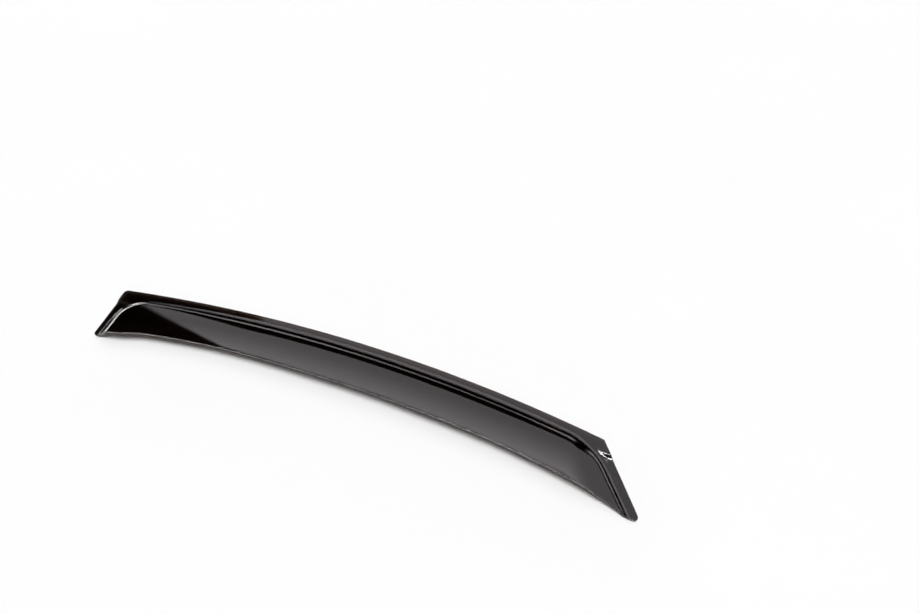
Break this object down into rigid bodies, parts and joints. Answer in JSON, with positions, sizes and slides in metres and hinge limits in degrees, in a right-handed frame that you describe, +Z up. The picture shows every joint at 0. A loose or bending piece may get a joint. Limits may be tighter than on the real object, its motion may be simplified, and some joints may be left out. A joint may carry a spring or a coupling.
{
  "type": "window rain deflector",
  "caption": "Long arched rain deflector for a car's side window: one smoked acrylic sheet with a bonding flange, a bent riser round three sides, a crowned visor and stepped end pads.",
  "frame": {"origin": "on the table under the middle of the sheet, where it lies face up on its end pads", "axes": "+X along the window towards the raked end, +Y towards the edge that follows the window frame, +Z up, away from the door"},
  "size_m": [0.739, 0.1143, 0.0224],
  "materials": {
    "smoked_acrylic": "polished, dark brown-grey, lets a little light through"
  },
  "bodies": {
    "root": {"deflector": "smoked_acrylic"}
  },
  "joints": []
}
